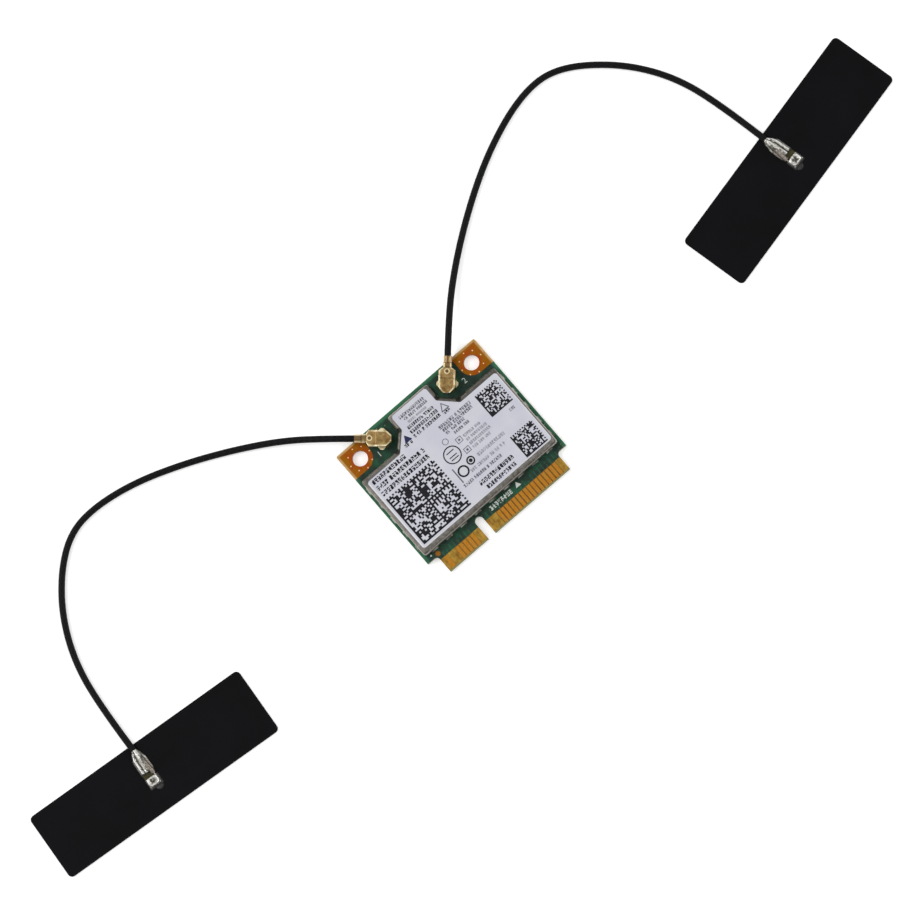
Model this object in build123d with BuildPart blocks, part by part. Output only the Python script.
from build123d import *
import os
from math import cos, pi, radians, sin, tan

os.makedirs("parts", exist_ok=True)

# A half-length mini card with two antenna leads plugged on, in millimetres.
# X runs along the card's width, +Y away from its edge contacts, +Z up from the side without parts.
# The origin is the middle of the card, on the plane that its lower contacts and pads rest on.

# Card board
board_width = 30.0
board_depth = 26.8
board_thickness = 1.0
board_corner_radius = 0.3
copper_thickness = 0.05
tongue_inset = 2.05
tongue_length = 3.4
tongue_root_radius = 0.65
edge_bevel = 0.25
key_inset = 9.0
key_width = 1.5
key_depth = 4.0

# Edge contacts
contact_width = 0.6
contact_pitch = 0.8
contact_length = 2.25
contact_inset_left = 1.0
contact_inset_right = 1.5
contact_key_margin = 0.7
short_tongue_upper_slots = (0, 3, 4, 5, 6, 7)
short_tongue_lower_slots = (0, 1, 2, 3, 4, 5, 6, 7)
spare_contact_count = 2
lower_contact_shift = 0.4

# Screw holes with plated rims
hole_side_inset = 2.9
hole_back_inset = 2.8
hole_radius = 1.3
barrel_wall = 0.08
rim_pad_reach = 2.2
rim_pad_margin = 0.15
rim_pad_radius = 2.4
via_circle_radius = 2.0
via_radius = 0.17
via_count = 8
via_height = 0.03

# Shield can over the circuit, with each wall's distance from the board's own edge
can_inset_left = 0.5
can_inset_right = 0.65
can_inset_front = 4.55
can_inset_shoulder = 6.0
can_tab_inset_left = 10.6
can_tab_inset_right = 10.8
can_tab_inset_back = 0.8
can_tab_slant = 2.3
can_height = 1.5
can_sheet = 0.2
can_corner_radius = 0.45
can_bend_radius = 0.35
foot_length = 1.7
foot_gap = 1.4
foot_lift = 0.3
foot_cut_width = 0.6
foot_solder_width = 0.22
foot_solder_height = 0.24
foot_solder_length = 1.3

# Label on the can's roof
label_thickness = 0.08
label_margin_left = 0.65
label_margin_right = 0.35
label_margin_front = 1.0
label_margin_shoulder = 0.8
label_margin_back = 0.35
label_margin_tab = 0.6
label_corner_radius = 0.5

# Coaxial receptacles and plugs: each axis from the board's side and back, and the way its cable leaves
socket_1_inset = (7.65, 2.75)
socket_2_inset = (8.1, 2.9)
socket_1_direction = 139.0
socket_2_direction = 48.3
socket_base_size = 2.6
socket_base_height = 0.35
socket_ring_radius = 1.0
socket_ring_wall = 0.15
socket_ring_height = 1.25
socket_groove_height = 0.85
socket_groove_width = 0.2
socket_groove_depth = 0.05
socket_foot_width = 0.9
socket_foot_reach = 1.65
socket_foot_thickness = 0.12
socket_pin_radius = 0.25
socket_pin_height = 1.05
socket_tail_width = 0.4

# The plug turns on its receptacle, so its running clearance is on the ring and on the pin
plug_clearance = 0.03
plug_lift = 0.12
plug_skirt_wall = 0.2
plug_lid_height = 2.3
plug_lid_thickness = 0.15
plug_lid_width = 2.73
plug_lid_length = 2.0
plug_tip_reach = 1.75
plug_tip_width = 1.1
plug_taper_start = -0.85
plug_shoulder_length = 0.45
plug_neck_width = 1.43
plug_strap_width = 0.7
plug_flap_start = -0.45
plug_flap_bottom = 1.0
plug_ear_width = 3.6
plug_ear_start = -0.75
plug_ear_length = 1.25
plug_ear_bevel = 0.4
plug_ear_bottom = 0.85
plug_mark_place = 1.84
plug_mark_radius = 0.46
plug_mark_width = 0.14
plug_mark_height = 0.05
crimp_wall = 0.13
crimp_clearance = 0.02
crimp_seam = 0.22
crimp_spacing = 0.2
braid_crimp_gap = 0.05
braid_crimp_length = 0.7
braid_crimp_corner_radius = 0.35
jacket_crimp_length = 1.0
plug_socket_wall = 0.14
plug_socket_bottom = 0.5
plug_arm_length = 0.55
plug_arm_width = 0.4

# Coaxial cable, 1.13 mm across
jacket_radius = 0.565
braid_radius = 0.45
dielectric_radius = 0.34
core_radius = 0.12
cable_height = 1.45
core_bare_length = 0.2

# Route of each cable between its straight lead out of the plug and its straight lead on to the film
cable_lead_out = 8.8
cable_lead_in = 8.4
cable_lead_in_offset = 0.28
arc_share = 0.45
cable_1_route = [
    (-19.6, 21.1, 1.15),
    (-26.6, 25.3, 0.6),
    (-34.6, 29.15, 0.6),
    (-43.0, 32.2, 0.6),
    (-50.7, 33.45, 0.6),
    (-56.3, 32.75, 0.6),
    (-61.45, 29.15, 0.6),
    (-66.3, 23.25, 0.6),
    (-69.75, 15.7, 0.6),
]
cable_2_route = [
    (18.3, 22.8, 1.15),
    (26.1, 28.85, 0.6),
    (34.55, 34.1, 0.6),
    (42.3, 37.5, 0.6),
    (48.4, 39.0, 0.6),
    (53.3, 38.75, 0.6),
    (58.35, 36.05, 0.6),
    (64.15, 30.7, 0.6),
    (68.6, 23.7, 0.6),
]

# Antenna films, with the place of each middle on the table and the turn of its long side
antenna_length = 42.2
antenna_width = 12.15
antenna_corner_radius = 0.8
adhesive_thickness = 0.15
film_thickness = 0.15
adhesive_inset = 0.25
antenna_1_place = (-71.67, -6.61)
antenna_2_place = (73.37, 1.69)
antenna_1_turn = -5.33
antenna_2_turn = 12.91
pad_thickness = 0.04
pad_offset = 0.65
solder_pad_width = 2.5
ground_pad_length = 2.6
ground_pad_start = 0.75
feed_pad_length = 1.95
strip_offset = 0.5
braid_end_offset = 0.2
core_offset = -0.15
strip_place = 5.08
strip_clearance = 0.03
braid_end_place = 3.0
dielectric_end_place = 0.35
dielectric_drop = 0.2
core_end_place = -0.9
core_drop = 0.3
ground_solder_root_place = 4.85
ground_solder_root_width = 1.35
ground_solder_root_height = 0.85
ground_solder_waist_place = 3.1
ground_solder_waist_height = 0.75
ground_solder_end_height = 0.45
feed_solder_inset = 0.06
feed_solder_height = 0.55
feed_solder_round = 0.28

# Parts under the can: length along X, width along Y and height, and each middle from the can's walls
radio_chip_size = (8.0, 8.0, 0.85)
radio_chip_offset = (1.2, -0.5)
front_end_size = (4.0, 4.0, 0.9)
front_end_inset = (6.0, 3.2)
memory_size = (3.0, 2.0, 0.6)
memory_inset = (4.0, 6.4)
crystal_size = (3.2, 2.5, 0.75)
crystal_inset = (7.3, 3.25)
converter_size = (3.0, 3.0, 0.8)
converter_inset = (5.15, 6.0)
inductor_size = (2.5, 2.0, 1.1)
inductor_inset = (3.95, 2.65)
filter_size = (2.0, 1.25, 0.7)
filter_inset = 1.5
filter_spacing = 2.0
chip_edge = 0.08
capacitor_size = (1.0, 0.5, 0.5)
resistor_size = (1.0, 0.5, 0.35)
small_part_pitch_x = 1.5
small_part_pitch_y = 0.9
side_block_inset = 2.3
front_block_inset = 1.25
shoulder_block_inset = 1.1
front_capacitor_inset = 7.45

# Heights and places that follow from the sizes above
board_top = copper_thickness + board_thickness
board_front = -board_depth / 2
board_back = board_depth / 2
tongue_root = board_front + tongue_length
tongue_left = tongue_inset - board_width / 2
tongue_right = board_width / 2 - tongue_inset
key_centre = tongue_left + key_inset
hole_spacing = board_width - 2 * hole_side_inset
can_left = can_inset_left - board_width / 2
can_right = board_width / 2 - can_inset_right
can_front = board_front + can_inset_front
can_shoulder = board_back - can_inset_shoulder
can_tab_left = can_tab_inset_left - board_width / 2
can_tab_right = board_width / 2 - can_tab_inset_right
can_tab_back = board_back - can_tab_inset_back
can_middle_x = (can_left + can_right) / 2
can_middle_y = (can_front + can_shoulder) / 2
can_roof = board_top + can_height
contact_start = board_front + edge_bevel
short_tongue_first = tongue_left + contact_inset_left
long_tongue_last = tongue_right - contact_inset_right
long_tongue_room = long_tongue_last - key_centre - key_width / 2 - contact_key_margin
long_tongue_count = int(long_tongue_room / contact_pitch) + 1
socket_1_place = (socket_1_inset[0] - board_width / 2, board_back - socket_1_inset[1])
socket_2_place = (board_width / 2 - socket_2_inset[0], board_back - socket_2_inset[1])
film_top = adhesive_thickness + film_thickness
pad_top = film_top + pad_thickness
strip_height = film_top + jacket_radius + strip_clearance
plug_lid_bottom = plug_lid_height - plug_lid_thickness
plug_skirt_radius = socket_ring_radius + plug_clearance
plug_skirt_bottom = socket_base_height + socket_foot_thickness + plug_lift
plug_body_bottom = socket_ring_height + plug_lift
plug_neck_start = plug_lid_length + plug_shoulder_length
braid_crimp_start = plug_neck_start + braid_crimp_gap
braid_crimp_end = braid_crimp_start + braid_crimp_length
jacket_crimp_start = braid_crimp_end + crimp_spacing


def base_plane(place, turn, height):
    """A level plane with its X along the given direction, in degrees from the card's X."""
    direction = (cos(radians(turn)), sin(radians(turn)), 0)
    return Plane(origin=(place[0], place[1], height), x_dir=direction, z_dir=(0, 0, 1))


def side_plane(base):
    """The upright plane through the base's X: its X runs along that, its Y up."""
    return Plane(origin=base.origin, x_dir=base.x_dir, z_dir=-base.y_dir)


def section_plane(base, distance):
    """The upright plane across the base's X at a distance along it: X runs along the base's Y."""
    return Plane(origin=base.origin + base.x_dir * distance, x_dir=base.y_dir, z_dir=base.x_dir)


def row_plane(base, distance):
    """The upright plane across the base's Y at a distance along it, facing towards -Y."""
    return Plane(origin=base.origin + base.y_dir * distance, x_dir=base.x_dir, z_dir=-base.y_dir)


def save(built, name):
    built.part.label = name
    export_step(built.part, f"parts/{name}.step")


# Board: shoulders, two tongues of unequal width, key slot and screw holes
with BuildPart() as board:
    with BuildSketch(Plane.XY.offset(copper_thickness)) as outline:
        with BuildLine():
            Polyline(
                (-board_width / 2, board_back),
                (board_width / 2, board_back),
                (board_width / 2, tongue_root),
                (tongue_right, tongue_root),
                (tongue_right, board_front),
                (tongue_left, board_front),
                (tongue_left, tongue_root),
                (-board_width / 2, tongue_root),
                close=True,
            )
        make_face()
        shoulder_corners = outline.vertices().group_by(Axis.Y)[1].sort_by(Axis.X)
        fillet(shoulder_corners[1:3], radius=tongue_root_radius)
        fillet(outline.vertices().group_by(Axis.Y)[-1], radius=board_corner_radius)
        with Locations((key_centre, board_front + key_depth - key_width / 2)):
            Circle(key_width / 2, mode=Mode.SUBTRACT)
            Rectangle(key_width, key_depth, align=(Align.CENTER, Align.MAX), mode=Mode.SUBTRACT)
        with Locations((0, board_back - hole_back_inset)):
            with GridLocations(hole_spacing, 0, 2, 1):
                Circle(hole_radius + barrel_wall, mode=Mode.SUBTRACT)
    extrude(amount=board_thickness)
    chamfer(board.edges().filter_by(Axis.X).group_by(Axis.Y)[0], length=edge_bevel)
save(board, "pcb")


# Plated rims: a pad on each side of the board, joined by the barrel in the hole
def make_rim(side):
    hole = (side * hole_spacing / 2, board_back - hole_back_inset)
    pad_width = hole_side_inset - rim_pad_margin + rim_pad_reach
    pad_depth = hole_back_inset - rim_pad_margin + rim_pad_reach
    corner = (side * (board_width / 2 - rim_pad_margin), board_back - rim_pad_margin)
    middle = (corner[0] - side * pad_width / 2, corner[1] - pad_depth / 2)
    with BuildPart() as rim:
        for height in (0, board_top):
            with BuildSketch(Plane.XY.offset(height)) as pad:
                with Locations(middle):
                    Rectangle(pad_width, pad_depth)
                inner_corner = pad.vertices().sort_by_distance((0, 0, height))[0]
                fillet(inner_corner, radius=rim_pad_radius)
            extrude(amount=copper_thickness)
        with BuildSketch(Plane.XY.offset(copper_thickness)):
            with Locations(hole):
                Circle(hole_radius + barrel_wall)
        extrude(amount=board_thickness)
        with BuildSketch(Plane.XY.offset(board_top)):
            with Locations(hole):
                with PolarLocations(via_circle_radius, via_count):
                    Circle(via_radius)
        extrude(amount=copper_thickness + via_height)
        with BuildSketch():
            with Locations(hole):
                Circle(hole_radius)
        extrude(amount=board_top + copper_thickness, mode=Mode.SUBTRACT)
    return rim


save(make_rim(-1), "mounting_rim_1")
save(make_rim(1), "mounting_rim_2")


# Edge contacts: one gold strip for each place in the row
def make_contacts(height, short_slots, long_count, shift):
    row = contact_start + contact_length / 2
    short_row = [(short_tongue_first + slot * contact_pitch + shift, row) for slot in short_slots]
    long_row = [(long_tongue_last - slot * contact_pitch + shift, row) for slot in range(long_count)]
    with BuildPart() as contacts:
        with BuildSketch(Plane.XY.offset(height)):
            with Locations(short_row + long_row):
                Rectangle(contact_width, contact_length)
        extrude(amount=copper_thickness)
    return contacts


upper_contacts = make_contacts(
    board_top, short_tongue_upper_slots, long_tongue_count - spare_contact_count, 0
)
save(upper_contacts, "edge_contacts_upper")
lower_contacts = make_contacts(0, short_tongue_lower_slots, long_tongue_count, lower_contact_shift)
save(lower_contacts, "edge_contacts_lower")

# Shield can: one folded sheet with a tab between the two receptacles
can_outline = [
    (can_left, can_front),
    (can_right, can_front),
    (can_right, can_shoulder),
    (can_tab_right + can_tab_slant, can_shoulder),
    (can_tab_right, can_shoulder + can_tab_slant),
    (can_tab_right, can_tab_back),
    (can_tab_left, can_tab_back),
    (can_tab_left, can_shoulder + can_tab_slant),
    (can_tab_left - can_tab_slant, can_shoulder),
    (can_left, can_shoulder),
]
can_walls = list(zip(can_outline, can_outline[1:] + can_outline[:1]))
foot_pitch = foot_length + foot_gap


def wall_plane(start, end):
    """The level plane at a wall's foot: middle of the wall, X along it, Y towards the inside."""
    middle = ((start[0] + end[0]) / 2, (start[1] + end[1]) / 2, board_top)
    return Plane(origin=middle, x_dir=(end[0] - start[0], end[1] - start[1], 0), z_dir=(0, 0, 1))


def gap_count(start, end):
    """How many gaps between feet fit along a wall, with a foot at each end."""
    run = (Vector(*end) - Vector(*start)).length
    return int((run - foot_length) / foot_pitch)


with BuildPart() as can:
    with BuildSketch(Plane.XY.offset(board_top)) as can_sketch:
        with BuildLine():
            Polyline(*can_outline, close=True)
        make_face()
        fillet(can_sketch.vertices(), radius=can_corner_radius)
    extrude(amount=can_height)
    fillet(can.faces().sort_by(Axis.Z)[-1].edges(), radius=can_bend_radius)
    with BuildSketch(Plane.XY.offset(board_top)) as hollow_sketch:
        add(can_sketch.sketch)
        offset(amount=-can_sheet, mode=Mode.REPLACE)
    extrude(amount=can_height - can_sheet, mode=Mode.SUBTRACT)
    for start, end in can_walls:
        with BuildSketch(wall_plane(start, end)):
            if gap_count(start, end) > 0:
                with GridLocations(foot_pitch, 0, gap_count(start, end), 1):
                    Rectangle(foot_gap, foot_cut_width)
            else:
                Rectangle(foot_gap, foot_cut_width)
        extrude(amount=foot_lift, mode=Mode.SUBTRACT)
save(can, "shield_can")

# Solder along the can's feet, outside the wall
with BuildPart() as foot_solder:
    for start, end in can_walls:
        wall = wall_plane(start, end)
        count = gap_count(start, end)
        for foot in range(count + 1 if count else 0):
            middle = (foot - count / 2) * foot_pitch
            with BuildSketch(section_plane(wall, middle - foot_solder_length / 2)):
                with BuildLine():
                    Polyline((0, 0), (-foot_solder_width, 0), (0, foot_solder_height), close=True)
                make_face()
            extrude(amount=foot_solder_length)
save(foot_solder, "shield_solder")

# Label, cut to the roof's outline
label_left = can_left + label_margin_left
label_right = can_right - label_margin_right
label_front = can_front + label_margin_front
label_shoulder = can_shoulder - label_margin_shoulder
label_back = can_tab_back - label_margin_back
label_tab_left = can_tab_left + label_margin_tab
label_tab_right = can_tab_right - label_margin_tab
label_slant = can_tab_slant + label_margin_shoulder + label_margin_tab * (1 - 2 ** 0.5)
with BuildPart() as label:
    with BuildSketch(Plane.XY.offset(can_roof)) as label_sketch:
        with BuildLine():
            Polyline(
                (label_left, label_front),
                (label_right, label_front),
                (label_right, label_shoulder),
                (label_tab_right + label_slant, label_shoulder),
                (label_tab_right, label_shoulder + label_slant),
                (label_tab_right, label_back),
                (label_tab_left, label_back),
                (label_tab_left, label_shoulder + label_slant),
                (label_tab_left - label_slant, label_shoulder),
                (label_left, label_shoulder),
                close=True,
            )
        make_face()
        fillet(label_sketch.vertices(), radius=label_corner_radius)
    extrude(amount=label_thickness)
save(label, "label")


# Parts soldered to the board under the can
def make_chips(size, places, edge):
    with BuildPart() as chips:
        with BuildSketch(Plane.XY.offset(board_top)):
            with Locations(places):
                Rectangle(size[0], size[1])
        extrude(amount=size[2])
        if edge > 0:
            chamfer(chips.edges().filter_by(Plane.XY).group_by(Axis.Z)[-1], length=edge)
    return chips


def spread(centres, count_x, count_y):
    """The places of small parts set out in a block round each centre."""
    return [
        (x + (i - (count_x - 1) / 2) * small_part_pitch_x, y + (j - (count_y - 1) / 2) * small_part_pitch_y)
        for x, y in centres
        for i in range(count_x)
        for j in range(count_y)
    ]


radio_chip_place = (can_middle_x + radio_chip_offset[0], can_middle_y + radio_chip_offset[1])
front_end_1_place = (can_left + front_end_inset[0], can_shoulder - front_end_inset[1])
front_end_2_place = (can_right - front_end_inset[0], can_shoulder - front_end_inset[1])
memory_place = (can_left + memory_inset[0], can_front + memory_inset[1])
crystal_place = (can_left + crystal_inset[0], can_front + crystal_inset[1])
converter_place = (can_right - converter_inset[0], can_front + converter_inset[1])
inductor_place = (can_right - inductor_inset[0], can_front + inductor_inset[1])
filter_row = can_tab_back - filter_inset
filter_places = [(can_middle_x, filter_row), (can_middle_x, filter_row - filter_spacing)]
radio_chip_left = radio_chip_place[0] - radio_chip_size[0] / 2
capacitor_blocks = [
    (radio_chip_left - small_part_pitch_x - capacitor_size[0], can_middle_y),
    (can_right - front_capacitor_inset, can_front + front_block_inset),
    (can_left + side_block_inset, can_middle_y + side_block_inset),
    (can_right - side_block_inset, can_middle_y + side_block_inset),
    (can_middle_x, can_shoulder - shoulder_block_inset),
]
resistor_blocks = [
    (can_left + side_block_inset, can_front + crystal_inset[1]),
    (radio_chip_place[0], can_front + front_block_inset),
    (radio_chip_left - small_part_pitch_x, can_shoulder - front_end_inset[1]),
]
save(make_chips(radio_chip_size, [radio_chip_place], chip_edge), "radio_chip")
save(make_chips(front_end_size, [front_end_1_place], chip_edge), "front_end_chip_1")
save(make_chips(front_end_size, [front_end_2_place], chip_edge), "front_end_chip_2")
save(make_chips(memory_size, [memory_place], chip_edge), "memory_chip")
save(make_chips(crystal_size, [crystal_place], chip_edge), "crystal")
save(make_chips(converter_size, [converter_place], chip_edge), "power_converter")
save(make_chips(inductor_size, [inductor_place], chip_edge), "power_inductor")
save(make_chips(filter_size, filter_places, 0), "band_filters")
save(make_chips(capacitor_size, spread(capacitor_blocks, 2, 2), 0), "capacitors")
save(make_chips(resistor_size, spread(resistor_blocks, 1, 2), 0), "resistors")


# Receptacles: a ring on a square base, with a centre pin
def make_receptacle(number, place):
    base = base_plane(place, 0, board_top)
    base_edge = socket_base_size / 2
    strap_top = socket_base_height + socket_foot_thickness

    with BuildPart() as pin:
        with BuildSketch(base):
            Circle(socket_pin_radius)
        extrude(amount=socket_pin_height)
        chamfer(pin.edges().group_by(Axis.Z)[-1], length=socket_pin_radius / 3)
        with BuildSketch(base):
            Rectangle(socket_tail_width, socket_foot_reach, align=(Align.CENTER, Align.MAX))
        extrude(amount=socket_foot_thickness)
    save(pin, f"receptacle_{number}_pin")

    with BuildPart() as body:
        with BuildSketch(base):
            Rectangle(socket_base_size, socket_base_size)
        extrude(amount=socket_base_height)
        add(pin.part, mode=Mode.SUBTRACT)
    save(body, f"receptacle_{number}_base")

    with BuildPart() as ring:
        with BuildSketch(side_plane(base)):
            with BuildLine():
                Polyline(
                    (socket_ring_radius - socket_ring_wall, socket_base_height),
                    (socket_ring_radius, socket_base_height),
                    (socket_ring_radius, socket_groove_height - socket_groove_width / 2),
                    (socket_ring_radius - socket_groove_depth, socket_groove_height),
                    (socket_ring_radius, socket_groove_height + socket_groove_width / 2),
                    (socket_ring_radius, socket_ring_height),
                    (socket_ring_radius - socket_ring_wall, socket_ring_height),
                    close=True,
                )
            make_face()
        revolve(axis=Axis(base.origin, (0, 0, 1)))
        with BuildSketch(side_plane(base)):
            with BuildLine():
                Polyline(
                    (socket_ring_radius - socket_groove_depth, socket_base_height),
                    (base_edge, socket_base_height),
                    (base_edge, 0),
                    (socket_foot_reach, 0),
                    (socket_foot_reach, socket_foot_thickness),
                    (base_edge + socket_foot_thickness, socket_foot_thickness),
                    (base_edge + socket_foot_thickness, strap_top),
                    (socket_ring_radius - socket_groove_depth, strap_top),
                    close=True,
                )
            make_face()
        extrude(amount=socket_foot_width / 2, both=True)
        mirror(about=section_plane(base, 0))
    save(ring, f"receptacle_{number}_ring")


make_receptacle(1, socket_1_place)
make_receptacle(2, socket_2_place)


def rod(start, end, radius):
    """A round rod from one point to another."""
    run = end - start
    return Solid.make_cylinder(radius, run.length, Plane(origin=start, z_dir=run))


# Antenna leads, each with its plug, cable and antenna film
def make_plug_shell(number, base):
    skirt_outer = plug_skirt_radius + plug_skirt_wall
    half_width = plug_lid_width / 2
    braid_bore = braid_radius + crimp_clearance
    jacket_bore = jacket_radius + crimp_clearance
    crimp_radius = jacket_bore + crimp_wall
    slot_height = plug_lid_bottom - cable_height + braid_bore
    with BuildPart() as shell:
        with BuildSketch(base.offset(plug_lid_bottom)) as lid:
            with BuildLine():
                Polyline(
                    (-plug_tip_reach, -plug_tip_width / 2),
                    (plug_taper_start, -half_width),
                    (plug_lid_length, -half_width),
                    (plug_neck_start, -plug_neck_width / 2),
                    (plug_neck_start, plug_neck_width / 2),
                    (plug_lid_length, half_width),
                    (plug_taper_start, half_width),
                    (-plug_tip_reach, plug_tip_width / 2),
                    close=True,
                )
            make_face()
            fillet(lid.vertices(), radius=plug_lid_thickness)
        extrude(amount=plug_lid_thickness)
        fillet(shell.edges().group_by(Axis.Z)[-1], radius=plug_lid_thickness / 2)
        with BuildSketch(base.offset(plug_lid_height)):
            with Locations((plug_mark_place, 0)):
                Circle(plug_mark_radius)
                Circle(plug_mark_radius - plug_mark_width, mode=Mode.SUBTRACT)
        extrude(amount=plug_mark_height)

        # Skirt round the receptacle's ring, open towards the cable, with a rim on each side
        with BuildSketch(base.offset(plug_skirt_bottom)):
            Circle(skirt_outer)
        extrude(amount=plug_lid_bottom - plug_skirt_bottom)
        with BuildSketch(base.offset(plug_ear_bottom)) as ears:
            with Locations((plug_ear_start, 0)):
                Rectangle(plug_ear_length, plug_ear_width, align=(Align.MIN, Align.CENTER))
            chamfer(ears.vertices(), length=plug_ear_bevel)
        extrude(amount=plug_lid_thickness)
        with BuildSketch(base.offset(plug_skirt_bottom)):
            Circle(plug_skirt_radius)
        extrude(amount=plug_lid_bottom - plug_skirt_bottom, mode=Mode.SUBTRACT)
        with BuildSketch(section_plane(base, plug_skirt_radius / 2)):
            with Locations((0, cable_height - braid_bore)):
                Rectangle(2 * braid_bore, slot_height, align=(Align.CENTER, Align.MIN))
        extrude(amount=plug_skirt_radius, mode=Mode.SUBTRACT)

        # Flaps folded down along the lid's straight sides
        with BuildSketch(base.offset(plug_flap_bottom)):
            with Locations((plug_flap_start, half_width), (plug_flap_start, plug_lid_thickness - half_width)):
                Rectangle(
                    plug_lid_length - plug_flap_start, plug_lid_thickness, align=(Align.MIN, Align.MAX)
                )
        extrude(amount=plug_lid_bottom - plug_flap_bottom)

        # Neck, stepping down to the crimp on the braid, and a saddle on to the crimp on the jacket
        strap_thickness = crimp_wall / 2
        strap_bottom = cable_height + braid_bore + strap_thickness / 2
        strap_top = plug_lid_height - plug_lid_thickness / 2
        with BuildSketch(side_plane(base)):
            with BuildLine():
                Polyline(
                    (plug_neck_start - plug_lid_thickness, plug_lid_bottom),
                    (plug_neck_start - plug_lid_thickness, strap_top),
                    (plug_neck_start, strap_top),
                    (braid_crimp_start + crimp_wall, strap_bottom + strap_thickness),
                    (braid_crimp_start + crimp_wall, strap_bottom),
                    (braid_crimp_start, strap_bottom),
                    close=True,
                )
            make_face()
        extrude(amount=plug_strap_width / 2, both=True)
        with BuildSketch(section_plane(base, braid_crimp_start)):
            with Locations((0, cable_height)):
                RectangleRounded(2 * crimp_radius, 2 * (braid_bore + crimp_wall), braid_crimp_corner_radius)
                Circle(braid_bore, mode=Mode.SUBTRACT)
                Rectangle(crimp_seam, 2 * braid_bore, align=(Align.CENTER, Align.MAX), mode=Mode.SUBTRACT)
        extrude(amount=braid_crimp_length)
        with BuildSketch(section_plane(base, braid_crimp_end)):
            with Locations((0, cable_height)):
                Circle(crimp_radius)
                Circle(jacket_bore, mode=Mode.SUBTRACT)
                Rectangle(2 * crimp_radius, crimp_radius, align=(Align.CENTER, Align.MAX), mode=Mode.SUBTRACT)
        extrude(amount=crimp_spacing)
        with BuildSketch(section_plane(base, jacket_crimp_start)):
            with Locations((0, cable_height)):
                Circle(crimp_radius)
                Circle(jacket_bore, mode=Mode.SUBTRACT)
                Rectangle(crimp_seam, 2 * jacket_bore, align=(Align.CENTER, Align.MAX), mode=Mode.SUBTRACT)
        extrude(amount=jacket_crimp_length)
    save(shell, f"plug_{number}_shell")


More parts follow.
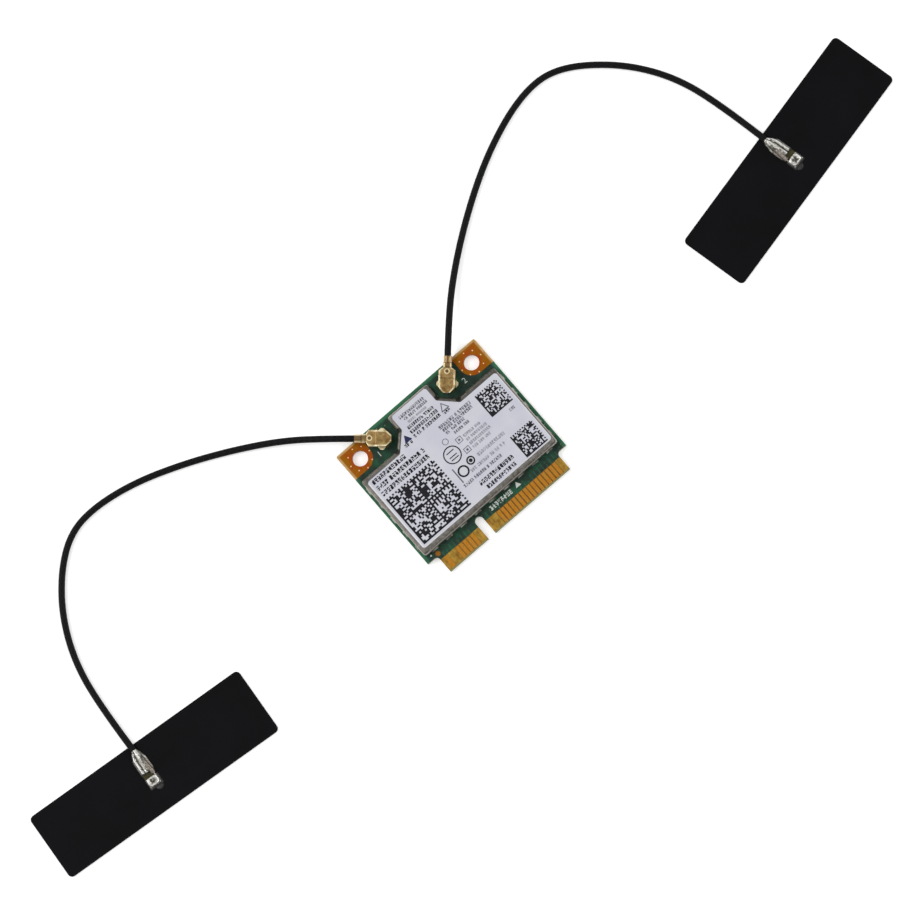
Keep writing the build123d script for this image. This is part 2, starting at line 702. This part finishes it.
def make_lead(number, socket_place, socket_direction, antenna_place, antenna_turn, side, route):
    base = base_plane(socket_place, socket_direction, board_top)
    film = base_plane(antenna_place, antenna_turn, 0)

    def on_plug(along, up):
        return base.from_local_coords(Vector(along, 0, up))

    def on_film(along, out, up):
        return film.from_local_coords(Vector(side * along, out, up))

    make_plug_shell(number, base)

    # The cable's layers show only at its two stripped ends
    braid_start = on_plug(braid_crimp_start, cable_height)
    strip_point = on_film(strip_offset, strip_place, strip_height)
    braid_point = on_film(braid_end_offset, braid_end_place, strip_height)
    dielectric_point = on_film(core_offset, dielectric_end_place, strip_height - dielectric_drop)
    core_point = on_film(core_offset, core_end_place, strip_height - core_drop)
    with BuildPart() as braid:
        add(rod(braid_start, on_plug(jacket_crimp_start, cable_height), braid_radius))
        add(rod(strip_point, braid_point, braid_radius))
    save(braid, f"cable_{number}_braid")
    core_start = plug_arm_length + core_bare_length
    with BuildPart() as dielectric:
        add(rod(on_plug(core_start, cable_height), braid_start, dielectric_radius))
        add(rod(braid_point, dielectric_point, dielectric_radius))
        add(braid.part, mode=Mode.SUBTRACT)
    save(dielectric, f"cable_{number}_dielectric")
    with BuildPart() as core:
        add(rod(on_plug(plug_arm_length, cable_height), on_plug(core_start, cable_height), core_radius))
        add(rod(dielectric_point, core_point, core_radius))
        add(dielectric.part, mode=Mode.SUBTRACT)
    save(core, f"cable_{number}_core")

    # Plug contact: a sleeve round the pin, with an arm that holds the cable's core
    contact_radius = socket_pin_radius + plug_clearance + plug_socket_wall
    contact_top = cable_height + core_radius
    with BuildPart() as contact:
        with BuildSketch(base.offset(plug_socket_bottom)):
            Circle(contact_radius)
        extrude(amount=contact_top - plug_socket_bottom)
        with BuildSketch(base.offset(plug_body_bottom)):
            Rectangle(plug_arm_length, plug_arm_width, align=(Align.MIN, Align.CENTER))
        extrude(amount=contact_top - plug_body_bottom)
        with BuildSketch(base.offset(plug_socket_bottom)):
            Circle(socket_pin_radius + plug_clearance)
        extrude(amount=socket_pin_height + plug_clearance - plug_socket_bottom, mode=Mode.SUBTRACT)
    save(contact, f"plug_{number}_contact")
    with BuildPart() as insulator:
        with BuildSketch(base.offset(plug_body_bottom)):
            Circle(plug_skirt_radius)
        extrude(amount=plug_lid_bottom - plug_body_bottom)
        for inner in (contact, core, dielectric):
            add(inner.part, mode=Mode.SUBTRACT)
    save(insulator, f"plug_{number}_insulator")

    # Cable jacket: straight runs joined by the largest arcs that they take
    points = [
        on_plug(jacket_crimp_start, cable_height),
        on_plug(cable_lead_out, cable_height),
        *[Vector(*point) for point in route],
        on_film(strip_offset + cable_lead_in_offset, strip_place + cable_lead_in, strip_height),
        strip_point,
    ]
    radii = []
    for before, corner, after in zip(points, points[1:], points[2:]):
        shorter = min((corner - before).length, (after - corner).length)
        half_turn = radians((corner - before).get_angle(after - corner)) / 2
        radii.append(arc_share * shorter / tan(half_turn))
    with BuildPart() as jacket:
        with BuildLine() as path:
            FilletPolyline(*points, radius=radii)
        with BuildSketch(Plane(origin=points[0], z_dir=points[1] - points[0])):
            Circle(jacket_radius)
        sweep(path=path.line)
    save(jacket, f"cable_{number}_jacket")
    length = path.wires()[0].length
    print(f"cable {number} length {length:.2f}, tube {jacket.part.volume:.3f}, "
          f"section times length {pi * jacket_radius**2 * length:.3f}")
    print("  radii", [round(radius, 1) for radius in radii])
    for point in points:
        print(f"  ({point.X:.2f}, {point.Y:.2f}, {point.Z:.2f})")

    # Antenna: adhesive backing, film and its two solder pads
    with BuildPart() as adhesive:
        with BuildSketch(film):
            RectangleRounded(
                antenna_length - 2 * adhesive_inset, antenna_width - 2 * adhesive_inset, antenna_corner_radius
            )
        extrude(amount=adhesive_thickness)
    save(adhesive, f"antenna_{number}_adhesive")
    with BuildPart() as sheet:
        with BuildSketch(film.offset(adhesive_thickness)):
            RectangleRounded(antenna_length, antenna_width, antenna_corner_radius)
        extrude(amount=film_thickness)
    save(sheet, f"antenna_{number}_film")
    with BuildPart() as pads:
        with BuildSketch(film.offset(film_top)):
            with Locations((side * pad_offset, ground_pad_start)):
                Rectangle(solder_pad_width, ground_pad_length, align=(Align.CENTER, Align.MIN))
            with Locations((side * pad_offset, 0)):
                Rectangle(solder_pad_width, feed_pad_length, align=(Align.CENTER, Align.MAX))
        extrude(amount=pad_thickness)
    save(pads, f"antenna_{number}_pads")

    # Solder: a fan over the braid on the ground pad, a pillow round the core on the feed pad
    with BuildPart() as ground_solder:
        for place, middle, width, height in (
            (ground_solder_root_place, strip_offset, ground_solder_root_width, ground_solder_root_height),
            (ground_solder_waist_place, pad_offset, solder_pad_width, ground_solder_waist_height),
            (ground_pad_start, pad_offset, solder_pad_width, ground_solder_end_height),
        ):
            with BuildSketch(row_plane(film, place)):
                with BuildLine():
                    left = (side * middle - width / 2, pad_top)
                    right = (side * middle + width / 2, pad_top)
                    ThreePointArc(left, (side * middle, pad_top + height), right)
                    Line(right, left)
                make_face()
        loft()
        add(braid.part, mode=Mode.SUBTRACT)
        add(dielectric.part, mode=Mode.SUBTRACT)
    save(ground_solder, f"antenna_{number}_ground_solder")
    with BuildPart() as feed_solder:
        with BuildSketch(film.offset(pad_top)):
            with Locations((side * pad_offset, -feed_pad_length / 2)):
                RectangleRounded(
                    solder_pad_width - 2 * feed_solder_inset,
                    feed_pad_length - 2 * feed_solder_inset,
                    feed_solder_round,
                )
        extrude(amount=feed_solder_height)
        fillet(feed_solder.faces().sort_by(Axis.Z)[-1].edges(), radius=feed_solder_round)
        add(core.part, mode=Mode.SUBTRACT)
    save(feed_solder, f"antenna_{number}_feed_solder")


make_lead(1, socket_1_place, socket_1_direction, antenna_1_place, antenna_1_turn, -1, cable_1_route)
make_lead(2, socket_2_place, socket_2_direction, antenna_2_place, antenna_2_turn, 1, cable_2_route)
